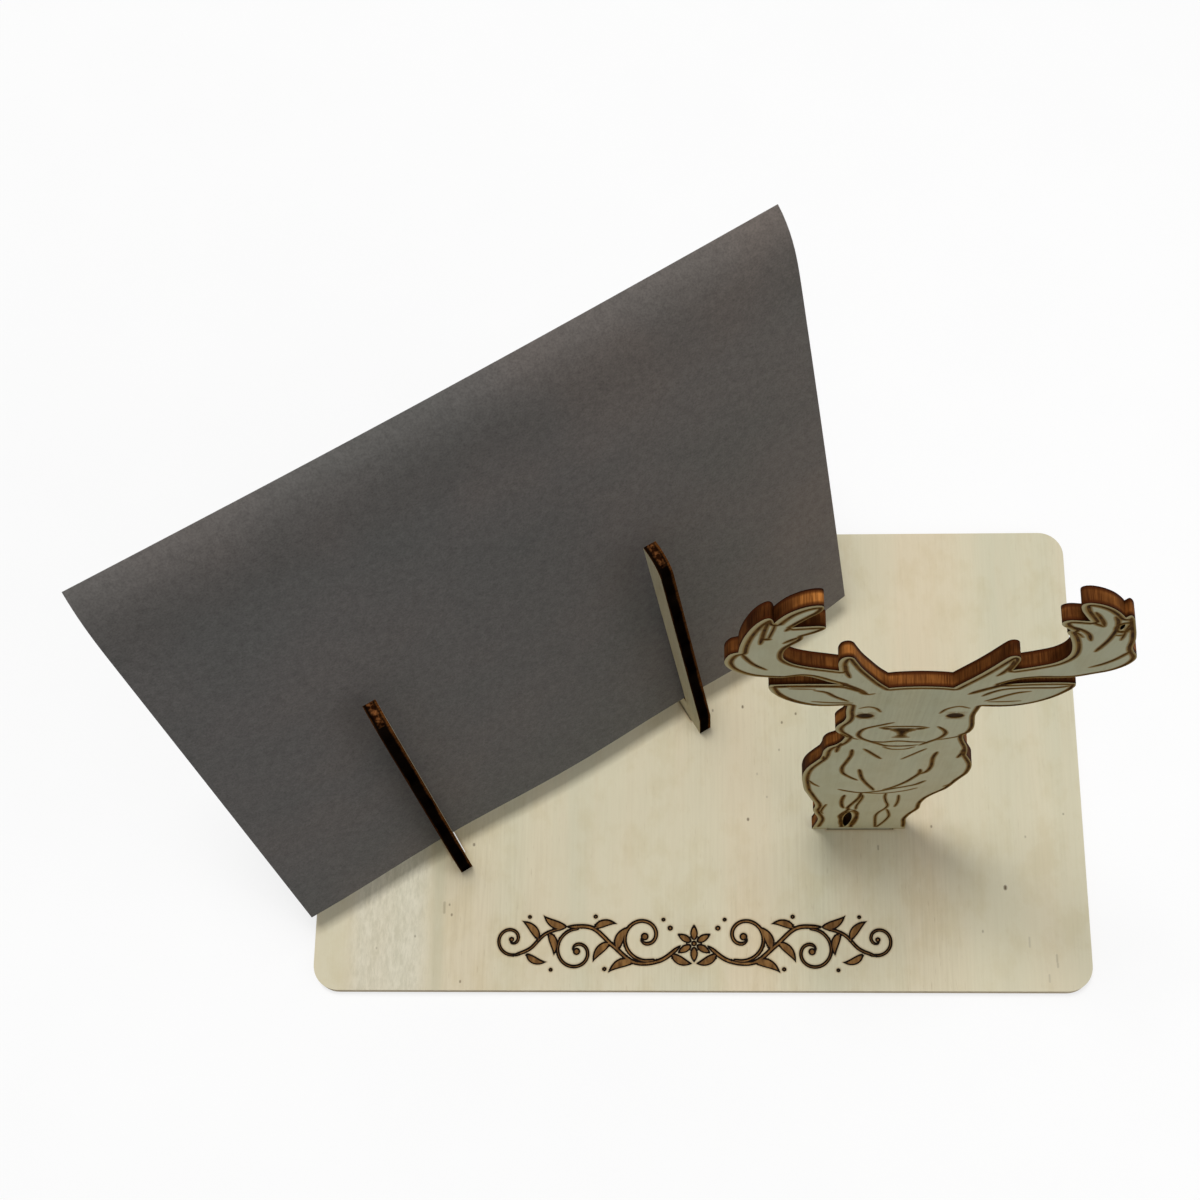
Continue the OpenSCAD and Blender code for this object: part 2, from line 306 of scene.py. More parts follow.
def skinned(name, node, u_axis, v_axis, n_axis, extra, carve, finishes):
    """A copy of a CAD node whose flat show face gets a fine skin that carve() sinks and tints.

    extra(loops) gives the points that the skin's pattern needs. carve(points, loops) gives each
    point's depth and a dict of the shares that the material reads. finishes are the materials of
    the show face, the cut sides, the plain back and the holes' walls.
    """
    bm = welded_copy(node)
    level = max(v.co.dot(n_axis) for v in bm.verts)
    facing = [f for f in bm.faces if f.normal.dot(n_axis) > FACING]
    show = [f for f in facing if abs(f.calc_center_median().dot(n_axis) - level) < TOUCH]
    loops = face_loops(show, u_axis, v_axis)
    outline, next_points = segments(loops)

    points = extra(loops)
    _, kept = np.unique(np.round(points / SKIN_GRID), axis=0, return_index=True)
    points = points[np.sort(kept)]
    points = points[inside(points, loops)]
    points = points[distance_to_lines(points, outline, next_points) > RIM_GAP]

    edges = []
    first = 0
    for loop in loops:
        count = len(loop)
        edges += [(first + i, first + (i + 1) % count) for i in range(count)]
        first += count
    flat = [Vector(p) for p in np.vstack([outline, points])]
    made_points, _, triangles, *_ = delaunay_2d_cdt(flat, edges, [], 0, 1e-7)
    flat = np.array([tuple(p) for p in made_points])
    corners = np.array(triangles)
    corners = corners[inside(flat[corners].mean(1), loops)]

    bmesh.ops.delete(bm, geom=show, context="FACES_KEEP_BOUNDARY")
    for face in bm.faces:
        face.material_index = BACK if face.normal.dot(n_axis) < -FACING else SIDE
        face.smooth = True
    for edge in bm.edges:
        bends = len(edge.link_faces) == 2 and edge.calc_face_angle() > math.radians(SKIN_CREASE)
        edge.smooth = not bends
    for loop in holes(loops):
        low, high = loop.min(0) - 0.05, loop.max(0) + 0.05
        for face in bm.faces:
            spots = np.array([(v.co.dot(u_axis), v.co.dot(v_axis)) for v in face.verts])
            if face.material_index == SIDE and (spots > low).all() and (spots < high).all():
                face.material_index = HOLE
    rim = [v for v in bm.verts if abs(v.co.dot(n_axis) - level) < TOUCH]
    verts = [bm.verts.new(u_axis * p[0] + v_axis * p[1] + n_axis * level) for p in flat]
    for triple in corners:
        face = bm.faces.new([verts[i] for i in triple])
        face.material_index = FACE
        face.smooth = True
    # The skin's border is joined to the sides.
    bmesh.ops.remove_doubles(bm, verts=rim + verts, dist=SEAM)
    loose = [v for v in bm.verts if not v.link_faces]
    bmesh.ops.delete(bm, geom=loose, context="VERTS")
    for edge in bm.edges:
        kinds = {f.material_index for f in edge.link_faces}
        if FACE in kinds and len(kinds) > 1:
            edge.smooth = False

    skin = [v for v in bm.verts if any(f.material_index == FACE for f in v.link_faces)]
    places = np.array([(v.co.dot(u_axis), v.co.dot(v_axis)) for v in skin])
    depth, shares = carve(places, loops)
    on_rim = distance_to_lines(places, outline, next_points) < TOUCH
    depth = np.where(on_rim, 0, depth)
    for vert, sunk in zip(skin, depth):
        vert.co -= n_axis * float(sunk)
    bm.verts.index_update()
    order = [v.index for v in skin]
    for key, values in shares.items():
        layer = bm.verts.layers.float.new(key)
        bm.verts.ensure_lookup_table()
        for index, value in zip(order, values):
            bm.verts[index][layer] = float(value)
    return finished(name, bm, node, finishes)


def new_object(name, data):
    """A new object in the scene."""
    made = bpy.data.objects.new(name, data)
    bpy.context.scene.collection.objects.link(made)
    return made


def finished(name, bm, node, finishes):
    """Turns a bmesh in millimetres into a piece that stands for a CAD node and rides as it does."""
    bmesh.ops.scale(bm, vec=(MM,) * 3, verts=bm.verts)
    bmesh.ops.recalc_face_normals(bm, faces=bm.faces)
    mesh = bpy.data.meshes.new(name)
    bm.to_mesh(mesh)
    bm.free()
    piece = new_object(name, mesh)
    for material in finishes:
        mesh.materials.append(material)
    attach(piece, frame["nodes"][node]["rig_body"])
    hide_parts(node)
    return piece


# Materials.


def tone(red, green, blue):
    """A colour as a screen shows it, 0 to 255, in the linear values that shaders take."""
    linear = []
    for value in (red, green, blue):
        c = value / 255
        linear.append(c / 12.92 if c <= 0.04045 else ((c + 0.055) / 1.055) ** 2.4)
    return (*linear, 1.0)


WHITE = tone(255, 255, 255)


def new_node(tree, kind):
    """A shader node, by the end of its type's name."""
    return tree.nodes.new("ShaderNode" + kind)


class Look:
    """A material being built, with short calls for the nodes that most looks share."""

    def __init__(self, name, roughness, specular):
        self.material = bpy.data.materials.new(name)
        self.material.use_nodes = True
        self.tree = self.material.node_tree
        self.shader = self.tree.nodes["Principled BSDF"]
        self.shader.inputs["Roughness"].default_value = roughness
        self.shader.inputs["Specular IOR Level"].default_value = specular
        self.coordinates = self.node("TexCoord")
        self.place = self.coordinates.outputs["Object"]

    def node(self, kind):
        return new_node(self.tree, kind)

    def feed(self, socket, value):
        """Links a socket to another node's output, or sets it to a plain value."""
        if isinstance(value, bpy.types.NodeSocket):
            self.tree.links.new(value, socket)
        else:
            socket.default_value = value

    def noise(self, per_metre, detail=4.0, roughness=0.6, turn=0.0, offset=(0, 0, 0)):
        """Noise with so many features a metre along x, y and z, turned about z by turn."""
        turned = self.node("Mapping")
        self.feed(turned.inputs["Vector"], self.place)
        turned.inputs["Rotation"].default_value = (0, 0, turn)
        mapping = self.node("Mapping")
        self.feed(mapping.inputs["Vector"], turned.outputs["Vector"])
        mapping.inputs["Scale"].default_value = per_metre
        mapping.inputs["Location"].default_value = offset
        texture = self.node("TexNoise")
        self.feed(texture.inputs["Vector"], mapping.outputs["Vector"])
        texture.inputs["Scale"].default_value = 1.0
        texture.inputs["Detail"].default_value = detail
        texture.inputs["Roughness"].default_value = roughness
        return texture.outputs["Fac"]

    def math(self, operation, first, second=0.0):
        """A plain sum on one or two values."""
        node = self.node("Math")
        node.operation = operation
        self.feed(node.inputs[0], first)
        self.feed(node.inputs[1], second)
        return node.outputs[0]

    def away_from(self, value, middle):
        """How far a value is from a middle one, either way."""
        return self.math("ABSOLUTE", self.math("SUBTRACT", value, middle))

    def spread(self, value, low, high, to_low=0.0, to_high=1.0):
        """Maps low..high to to_low..to_high, smoothly and clamped."""
        node = self.node("MapRange")
        node.interpolation_type = "SMOOTHSTEP"
        self.feed(node.inputs["Value"], value)
        for socket, number in zip(
            ("From Min", "From Max", "To Min", "To Max"), (low, high, to_low, to_high)
        ):
            node.inputs[socket].default_value = number
        return node.outputs["Result"]

    def ramp(self, value, stops):
        """Colours along a value, as (place, colour) pairs."""
        node = self.node("ValToRGB")
        self.feed(node.inputs["Fac"], value)
        elements = node.color_ramp.elements
        while len(elements) < len(stops):
            elements.new(0.5)
        for element, (place, colour) in zip(elements, stops):
            element.position = place
            element.color = colour
        return node.outputs["Color"]

    def mix(self, share, first, second, blend="MIX"):
        """The first colour, with a share of the second one in it."""
        node = self.node("Mix")
        node.data_type = "RGBA"
        node.blend_type = blend
        self.feed(node.inputs["Factor"], share)
        # The node has sockets for each type of data. These are the colours'.
        self.feed(node.inputs[6], first)
        self.feed(node.inputs[7], second)
        return node.outputs[2]

    def shaded(self, colour, shade, share=1.0):
        """A colour, darkened by a shade as far as the share says."""
        return self.mix(share, colour, shade, "MULTIPLY")

    def reading(self, name):
        """A share that the mesh carries at its vertices."""
        node = self.node("Attribute")
        node.attribute_type = "GEOMETRY"
        node.attribute_name = name
        return node.outputs["Fac"]

    def along(self, vector, direction):
        """How far a place or normal goes along a direction."""
        node = self.node("VectorMath")
        node.operation = "DOT_PRODUCT"
        self.feed(node.inputs[0], vector)
        node.inputs[1].default_value = direction
        return node.outputs["Value"]

    def bump(self, height, depth):
        """Fine relief in the shading alone."""
        node = self.node("Bump")
        node.inputs["Distance"].default_value = depth * MM
        self.feed(node.inputs["Height"], height)
        self.feed(self.shader.inputs["Normal"], node.outputs["Normal"])

    def done(self, colour):
        """The finished material."""
        self.feed(self.shader.inputs["Base Color"], colour)
        return self.material


def poplar(look, grain, pale, warm, cool, seed, lines=0.2):
    """Peeled poplar: soft warm and cool clouds, faint streaks, and fine fibres along the grain.

    grain is 0, 1 or 2 for x, y or z, and lines is how plainly the fibres show. Returns the
    colour and the fibres' height.
    """

    def stretched(across, with_grain):
        scale = [across] * 3
        scale[grain] = with_grain
        return tuple(scale)

    shift = (seed, seed * 0.7, seed * 1.3)
    bands = look.noise(stretched(48, 5), 2, 0.45, offset=shift)
    streaks = look.noise(stretched(150, 9), 3, 0.5, offset=shift)
    fibres = look.noise(stretched(1700, 60), 4, 0.6, offset=shift)
    rough = look.noise(stretched(22, 9), 2, 0.5, offset=(seed * 2, seed, 0))
    pores = look.noise(stretched(2300, 260), 2, 0.5, offset=shift)
    colour = look.ramp(bands, [(0.33, cool), (0.5, pale), (0.68, warm)])
    colour = look.mix(look.spread(streaks, 0.5, 0.72, 0, 0.35), colour, warm)
    colour = look.mix(look.spread(streaks, 0.48, 0.26, 0, 0.3), colour, cool)
    spots = look.noise(stretched(140, 90), 4, 0.65, offset=(seed, 0, seed))
    mottle = look.ramp(spots, [(0.36, tone(250, 248, 243)), (0.52, WHITE)])
    colour = look.shaded(colour, mottle)
    plain = look.spread(rough, 0.46, 0.66, lines, min(1, 2.4 * lines))
    shade = look.ramp(fibres, [(0.3, tone(229, 225, 216)), (0.6, WHITE)])
    colour = look.shaded(colour, shade, plain)
    dark = look.ramp(pores, [(0.22, tone(206, 192, 172)), (0.34, WHITE)])
    return look.shaded(colour, dark, plain), fibres


# A rough strip in the plate's face and the dim line beside it: their middles, and the distances
# from those between which each one fades in.
STRIP_X = -73.5
STRIP_FADE = (11.5, 6.0)
STRIP_LINE_X = -62.0
STRIP_LINE_FADE = (2.2, 0.4)


def plate_face_finish():
    """Pale wood with the burnt ornament in it."""
    look = Look("plate_face", roughness=0.7, specular=0.1)
    colour, fibres = poplar(
        look, 1, tone(214, 206, 179), tone(217, 204, 176), tone(207, 202, 176), 3.0, 0.16
    )
    # One strip near the left end is rougher and paler, with a dim line at its right border.
    across = look.along(look.place, (1 / MM, 0, 0))
    strip = look.spread(look.away_from(across, STRIP_X), *STRIP_FADE, 0, 0.55)
    rough = look.ramp(
        look.noise((1500, 380, 1500), 4, 0.7),
        [(0.36, tone(194, 191, 172)), (0.62, tone(224, 220, 203))],
    )
    colour = look.mix(strip, colour, rough)
    line = look.spread(look.away_from(across, STRIP_LINE_X), *STRIP_LINE_FADE, 0, 0.4)
    colour = look.mix(line, colour, tone(190, 186, 160))
    # The burnt ornament: a brown floor with a near-black wall round it, and a faint halo.
    floor_tone = look.ramp(
        look.noise((900, 260, 900), 4), [(0.35, tone(92, 62, 30)), (0.65, tone(138, 100, 56))]
    )
    groove = look.reading("groove")
    wall = look.spread(groove, 0.02, 0.2)
    floor = look.spread(groove, 0.9, 1.0)
    colour = look.mix(look.reading("scorch"), colour, tone(168, 138, 92))
    colour = look.mix(wall, colour, tone(15, 6, 2))
    colour = look.mix(floor, colour, floor_tone)
    colour = look.mix(look.reading("speck"), colour, tone(84, 64, 42))
    look.bump(fibres, 0.015)
    return look.done(colour)


def plain_face_finish(name, grain):
    """Pale plain wood, for the sides that the photograph doesn't show."""
    look = Look(name, roughness=0.65, specular=0.25)
    colour, fibres = poplar(
        look, grain, tone(209, 200, 172), tone(212, 197, 166), tone(198, 192, 164), 11.0
    )
    look.bump(fibres, 0.03)
    return look.done(colour)


def plate_side_finish():
    """The plate's sides are only lightly toasted. Two darker lines are its glued plies."""
    look = Look("plate_side", roughness=0.7, specular=0.2)
    height = look.along(look.place, (0, 0, 1 / (PLATE_T * MM)))
    wander = look.math("MULTIPLY", look.noise((60, 60, 300), 3), 0.06)
    height = look.math("ADD", height, wander)
    lower = [(0.03, tone(192, 170, 136)), (0.2, tone(218, 204, 174)), (0.36, tone(204, 184, 150))]
    upper = [(0.5, tone(222, 208, 178)), (0.7, tone(206, 188, 154)), (0.92, tone(224, 212, 184))]
    toast = look.ramp(height, lower + upper)
    fibres = look.noise((900, 900, 2500), 4)
    shade = look.ramp(fibres, [(0.3, tone(214, 204, 190)), (0.65, WHITE)])
    look.bump(fibres, 0.05)
    return look.done(look.shaded(toast, shade, 0.8))


def stag_face_finish():
    """Pale wood, greyer than the plate's, with the stag's burnt lines and darker eyes and nose."""
    look = Look("stag_face", roughness=0.75, specular=0.05)
    colour, fibres = poplar(
        look, 2, tone(207, 204, 172), tone(209, 201, 168), tone(199, 199, 169), 7.0
    )
    burnt = look.ramp(
        look.noise((500, 500, 500), 4), [(0.35, tone(56, 32, 3)), (0.65, tone(112, 76, 24))]
    )
    colour = look.mix(look.reading("rim"), colour, tone(186, 168, 118))
    colour = look.mix(look.reading("scorch"), colour, tone(146, 112, 50))
    colour = look.mix(look.spread(look.reading("groove"), 0.05, 0.6), colour, burnt)
    colour = look.mix(look.reading("deep"), colour, tone(28, 16, 2))
    look.bump(fibres, 0.02)
    return look.done(colour)


def burnt_edge_tones(look, across, striped):
    """A laser's cut through the plies: dark at both faces, brown within, with fine striations.

    across runs from 0 to 1 through the plate, and striped is noise that is stretched that way.
    """
    patches = look.noise((70, 70, 70), 3, 0.55)
    brown = look.ramp(
        patches,
        [(0.34, tone(62, 30, 9)), (0.5, tone(108, 64, 28)), (0.66, tone(178, 114, 54))],
    )
    stripes = look.ramp(striped, [(0.34, tone(150, 134, 120)), (0.6, WHITE)])
    brown = look.shaded(brown, stripes, 0.8)
    wander = look.math("MULTIPLY", look.math("SUBTRACT", patches, 0.5), 0.3)
    border = look.math("ADD", look.away_from(across, 0.5), wander)
    brown = look.mix(look.spread(border, 0.2, 0.38, 0, 0.85), brown, tone(64, 28, 8))
    return look.mix(look.spread(border, 0.37, 0.49), brown, tone(38, 13, 3))


def cut_edge_finish(name, low, high, axis, painted_hole_shade=False):
    """A laser-cut side, whose plies lie between two heights along axis, in millimetres."""
    look = Look(name, roughness=0.75, specular=0.03)
    direction = [0, 0, 0]
    direction[axis] = 1 / ((high - low) * MM)
    across = look.math("SUBTRACT", look.along(look.place, direction), low / (high - low))
    scale = [3200] * 3
    scale[axis] = 190
    stripes = look.noise(tuple(scale), 3, 0.55)
    look.bump(stripes, 0.06)
    tones = burnt_edge_tones(look, across, stripes)
    # The walls of small holes are darkened nearly to black: painted shade in these narrow recesses.
    if painted_hole_shade:
        return look.done(look.mix(0.85, tones, tone(20, 13, 8)))
    # Undersides are darkened further, towards near-black: painted shade under the cut edges, which
    # face away from the light above.
    below = look.along(look.coordinates.outputs["Normal"], (0, 0, -1))
    return look.done(look.mix(look.spread(below, 0.1, 0.8, 0, 0.8), tones, tone(24, 15, 9)))


def fork_finish(name, place_along):
    """Pale faces, and cut edges that are burnt nearly black. The normal tells them apart."""
    look = Look(name, roughness=0.8, specular=0.0)
    normal = look.coordinates.outputs["Normal"]
    facing = look.math("ABSOLUTE", look.along(normal, SLOT_LINE_WAY))
    pale, fibres = poplar(
        look, 2, tone(200, 196, 170), tone(200, 190, 160), tone(190, 187, 162), 5.0
    )
    line_start = SLOT_LINE_WAY[0] * SLOT_LINE_LEFT[0] + SLOT_LINE_WAY[1] * SLOT_LINE_LEFT[1]
    middle = line_start + place_along
    aside = look.math("SUBTRACT", look.along(look.place, SLOT_LINE_WAY), middle * MM)
    across = look.math("ADD", look.math("MULTIPLY", aside, 1 / (PLATE_T * MM)), 0.5)
    stripes = look.noise((190, 3200, 3200), 3, 0.55, turn=-SLOT_ANGLE)
    blotches = look.noise((160, 160, 160), 4, 0.6)
    # Burnt nearly black, with a brown margin that is wider on the right.
    soot = look.ramp(blotches, [(0.35, tone(2, 1, 1)), (0.7, tone(18, 11, 6))])
    wander = look.math("MULTIPLY", look.math("SUBTRACT", blotches, 0.5), 0.3)
    wavy = look.math("ADD", across, wander)
    margin = look.ramp(stripes, [(0.3, tone(48, 27, 12)), (0.65, tone(104, 62, 27))])
    edge = look.mix(look.spread(wavy, 0.76, 0.92, 0, 0.9), soot, margin)
    edge = look.mix(look.spread(wavy, 0.12, 0.02, 0, 0.4), edge, margin)
    # The round top is less burnt in its middle.
    up = look.spread(look.along(normal, (0, 0, 1)), 0.72, 0.97)
    mid = look.spread(look.away_from(across, 0.5), 0.34, 0.1)
    speckle = look.noise((900, 900, 900), 3, 0.6)
    tan = look.ramp(speckle, [(0.46, tone(36, 16, 5)), (0.7, tone(142, 90, 50))])
    edge = look.mix(look.math("MULTIPLY", look.math("MULTIPLY", up, mid), 0.9), edge, tan)
    look.bump(look.mix(look.spread(facing, 0.4, 0.6), stripes, fibres), 0.03)
    return look.done(look.mix(look.spread(facing, 0.4, 0.6), edge, pale))


# How far below the card's top its curl starts and ends.
CURL_START = 26
CURL_END = 2


def card_finish(top):
    """Dyed-through card stock: matt, faintly mottled, with short paper fibres."""
    look = Look("grey_card", roughness=0.88, specular=0.2)
    clouds = look.noise((28, 28, 28), 2, 0.5)
    mottle = look.noise((620, 620, 620), 4, 0.7)
    flecks = look.noise((2400, 2400, 2400), 2, 0.6)
    colour = look.ramp(
        clouds,
        [(0.36, tone(116, 114, 111)), (0.52, tone(120, 116, 113)), (0.66, tone(124, 118, 114))],
    )
    # Painted light: the sheet is made a little paler and warmer towards its right side, where more
    # light falls on it.
    across = look.along(look.place, SLOT_LINE_WAY)
    painted_light = look.mix(look.spread(across, -0.03, 0.05), tone(238, 239, 240), tone(255, 251, 248))
    colour = look.shaded(colour, painted_light)
    # Painted shade: it is made a little darker where it curls, to take back the light that the
    # upturned curl catches.
    height = look.along(look.place, (0, 0, 1 / MM))
    curl = look.spread(height, top - CURL_START, top - CURL_END)
    colour = look.shaded(colour, tone(238, 236, 234), curl)
    grain = look.ramp(mottle, [(0.3, tone(228, 228, 228)), (0.66, WHITE)])
    colour = look.shaded(colour, grain)
    fleck = look.ramp(flecks, [(0.3, tone(224, 224, 224)), (0.6, WHITE)])
    look.bump(look.noise((3000, 3000, 3000), 3), 0.02)
    return look.done(look.shaded(colour, fleck, 0.8))


# The plate and its ornament. Depths are how far the face is sunk.
ORNAMENT_CENTRE = (-1.4, -46.0)
ORNAMENT_DEPTH = 0.35
SPECK_DEPTH = 0.03
# Where the skin needs rows of points: signed distances from the border of a groove or a mark, and
# distances from a mortise.
GROOVE_ROWS = (0.35, 0.06, -0.02, -0.14, -0.28, -0.4, -0.5)
SPECK_ROWS = (0.15, 0.03)
MORTISE_ROWS = (0.35, 0.75)
PLATE_GRID = 6.0


def ornament_half():
    """The right half of a leafy scroll, from the middle outwards, round its own centre."""
    made = [
        stroke([(3.2, -0.6), (8, -4.0), (14, -4.4), (19, -0.6), (24, 3.6), (30, 3.9)], 1.3),
        stroke([(30, 3.9), (35, 2.2), (38.5, -1.2), (41.8, -2.7)], 1.1, (0.35, 0.9)),
        stroke(spiral((11.6, 1.6), 5.9, 0.9, -110, 330, 26), 1.15, (0.9, 0.5)),
        stroke(spiral((27.6, -1.9), 5.4, 0.9, 92, -340, 26), 1.05, (0.9, 0.5)),
        stroke(spiral((43.0, 0.9), 3.8, 0.7, -108, 290, 20), 1.0, (0.9, 0.5)),
    ]
    for root, angle, length, width, bend in (
        ((5.2, -2.4), 205, 5.4, 2.3, 0.12),
        ((14.0, -4.4), -22, 6.6, 2.4, 0.15),
        ((18.0, -1.6), 118, 6.4, 2.5, -0.14),
        ((19.6, 0.2), -48, 6.2, 2.3, 0.12),
        ((23.6, 3.4), 168, 5.6, 2.1, -0.15),
        ((30.0, 3.9), 26, 6.2, 2.3, -0.12),
        ((34.4, 2.5), -104, 5.6, 2.2, -0.14),
        ((36.6, 0.8), 48, 6.0, 2.2, 0.12),
        ((39.4, -2.4), -158, 5.2, 2.0, 0.15),
    ):
        made.append(leaf(root, angle, length, width, bend))
    places = ((11.6, 1.6), (27.6, -1.9), (43.0, 0.9), (5.6, 3.6), (7.2, 5.6))
    places += ((21.0, -6.0), (23.2, 6.3), (33.6, -6.2), (38.8, 6.2))
    radii = (1.0, 0.95, 0.7, 0.7, 0.55, 0.6, 0.6, 0.55, 0.55)
    return made + [dot(place, radius) for place, radius in zip(places, radii)]


def ornament():
    """The whole scroll on the plate: two halves that mirror each other, and a flower between."""
    half = ornament_half()
    made = half + [(centre * (-1, 1), radius) for centre, radius in half]
    for turn in range(6):
        angle = 30 + 60 * turn
        root = (0.9 * math.cos(math.radians(angle)), 0.9 * math.sin(math.radians(angle)))
        made.append(leaf(root, angle, 3.6, 2.0, 0.0))
    made.append(dot((0, 0), 0.75))
    return [(centre + ORNAMENT_CENTRE, radius) for centre, radius in made]


# Small dark marks in the wood, as (x, y, length along the grain, width, strength).
SPECKS = (
    (71.9, -32.8, 0.45, 0.75, 1.0), (10.6, 11.8, 0.35, 0.45, 0.9),
    (11.6, -16.3, 0.3, 0.5, 0.9), (-54.1, -22.4, 0.3, 0.5, 0.85),
    (23.5, 10.0, 0.25, 0.4, 0.8), (20.1, 7.8, 0.25, 0.4, 0.8),
    (55.2, -18.1, 0.25, 0.4, 0.75), (-58.8, -39.3, 0.25, 0.4, 0.75),
    (-56.2, -55.0, 0.3, 0.35, 0.75), (3.3, 10.9, 0.3, 0.35, 0.7),
    (86.6, -15.1, 0.15, 0.35, 0.6), (-67.3, -44.4, 0.15, 0.35, 0.6),
    (-59.4, -36.9, 0.2, 0.35, 0.6), (-60.6, -37.6, 2.4, 0.55, 0.35),
    (19.3, 0.9, 0.2, 0.35, 0.5), (77.3, -20.6, 0.2, 0.35, 0.45),
    (66.1, -43.1, 0.3, 0.35, 0.5), (16.2, -10.8, 0.2, 0.3, 0.4),
    (-76.3, -47.2, 0.2, 0.3, 0.4), (13.9, -5.1, 0.3, 0.3, 0.35),
    (42.4, -23.2, 0.9, 0.35, 0.5), (76.8, -45.6, 2.2, 0.35, 0.25),
    (82.9, -49.4, 1.6, 0.4, 0.3), (83.0, -51.0, 0.8, 0.4, 0.3),
    (80.9, -54.0, 1.6, 0.35, 0.25),
)


def make_plate():
    """The CAD plate with the ornament and the marks in its top face."""
    scroll = ornament()
    specks = []
    for x, y, length, width, _ in SPECKS:
        ys = y + length * np.linspace(-0.5, 0.5, 2 + int(length / 0.3))
        specks.append((np.stack([np.full(len(ys), x), ys], 1), np.full(len(ys), width / 2)))

    def extra(loops):
        across = np.arange(-90, 91, PLATE_GRID)
        deep = np.arange(-56, 57, PLATE_GRID)
        grid = np.array([(x, y) for x in across for y in deep])
        rims = outline_rows(holes(loops), MORTISE_ROWS, 0)
        rows = rows_along(scroll, GROOVE_ROWS), rows_along(specks, SPECK_ROWS)
        return np.vstack([grid, *rows, rims])

    def carve(points, loops):
        away = distance_to_strokes(points, scroll)
        groove = smoothstep(-away, -0.03, 0.5)
        spot = np.zeros(len(points))
        for speck, (*_, strength) in zip(specks, SPECKS):
            one = smoothstep(-distance_to_strokes(points, [speck]), -0.14, 0.1)
            spot = np.maximum(spot, strength * one)
        # A mortise's rim is toasted, as laser cuts are.
        starts, ends = segments(holes(loops))
        rim = 0.55 * smoothstep(-distance_to_lines(points, starts, ends), -0.7, 0.0)
        halo = 0.5 * smoothstep(-away, -0.45, 0.0)
        return ORNAMENT_DEPTH * groove + SPECK_DEPTH * spot, {
            "groove": groove,
            "scorch": np.maximum(halo, rim),
            "speck": spot,
        }

    finishes = [
        plate_face_finish(),
        plate_side_finish(),
        plain_face_finish("plate_back", 1),
        # The mortises' walls are darkened with painted shade.
        cut_edge_finish("mortise_wall", 0, PLATE_T, 2, painted_hole_shade=True),
    ]
    piece = skinned("base_plate_engraved", "base_plate", X, Y, Z, extra, carve, finishes)
    return piece


# The stag's burnt lines, as (width in millimetres, points). The points are in the drawing's own
# units, with x from the head's axis and z from the plate's top.
LINE = 0.75
FINE = 0.5
HEAVY = 1.2
ANTLER_LINES = (
    (LINE, ((-32.1, 140), (-31.6, 138.2), (-30.7, 135.5), (-29.6, 133.2), (-27.8, 130.7))),
    (LINE, ((-28.1, 157.5), (-28.5, 154), (-28.8, 150.5), (-29, 147.5), (-29.2, 145.4))),
    (FINE, ((-27, 156.5), (-27.2, 153.5), (-27.6, 150.5), (-27.9, 148))),
    (HEAVY, ((-28.9, 148.2), (-27.6, 148.2))),
    (LINE, ((-24.6, 154.2), (-25.2, 152.6))),
    (LINE, ((-22.8, 149.4), (-24.2, 147.6), (-25.3, 146))),
    (LINE, ((-14.3, 133.5), (-14.1, 130.5), (-13.6, 127.8), (-13.1, 125.6))),
    (HEAVY, ((-14.6, 122.4), (-12.5, 119.8), (-10.8, 117.5), (-9.8, 115.4), (-9, 114.8))),
    (FINE, ((-9, 114.8), (-8.1, 115.5))),
    (LINE, ((32.3, 140.5), (31.6, 138.2), (30.5, 135.5), (28.9, 133), (27.3, 131.4))),
    (LINE, ((26.4, 159.3), (27.3, 156.8), (27.8, 153.2), (27.8, 149.5), (27.5, 145.9),
            (26.6, 140.5))),
    (HEAVY, ((28.2, 151.3), (29.8, 151.3))),
    (LINE, ((28.2, 149.5), (29.6, 149.5))),
    (FINE, ((29.6, 156.4), (29.4, 151.8), (29.6, 150), (29.6, 146.8))),
    (LINE, ((23.4, 156.3), (24.6, 155), (25.5, 154))),
    (LINE, ((22.9, 161.6), (23.9, 159.4), (25, 156.5), (25.6, 154.2))),
    (LINE, ((19.5, 154.6), (22, 152.8), (23.8, 150.2), (24.8, 146.6))),
    (FINE, ((20.8, 151.6), (22, 150.6), (23.2, 148.5))),
    (LINE, ((13.9, 135.5), (13.9, 132.3), (13, 128.2), (12.3, 126.4))),
    (HEAVY, ((16.1, 122.7), (13.3, 119.9), (10.6, 117.1), (8.9, 114.9))),
)
EAR_LINES = (
    (LINE, ((-26.6, 119.6), (-23, 120), (-15, 119.8), (-12.5, 118.5), (-10.8, 116.6))),
    (LINE, ((-18.9, 117.7), (-16.7, 116.3), (-15, 113.5), (-12.5, 110.4))),
    (FINE, ((-18.9, 110.4), (-15.6, 109.6), (-11.7, 109.3))),
    (LINE, ((-25.8, 118.8), (-25, 114.9), (-22.8, 111), (-20, 108.2), (-17, 106.8))),
    (FINE, ((-23.3, 118.8), (-18.9, 118.5))),
    (LINE, ((26, 120), (23.5, 118.9), (20, 118.8), (17, 118.6), (14.5, 117.8), (12.6, 115.8),
            (11.4, 113.6))),
    (LINE, ((12.4, 110.4), (14, 112), (15.6, 114), (17.4, 115.7), (19.4, 116.6))),
    (FINE, ((13, 109.8), (16, 109.9), (18.5, 110.4))),
    (LINE, ((12, 106.6), (17.2, 106.9), (21.1, 108.2), (24.4, 111.6), (26.1, 115.4),
            (26.4, 118.8))),
)
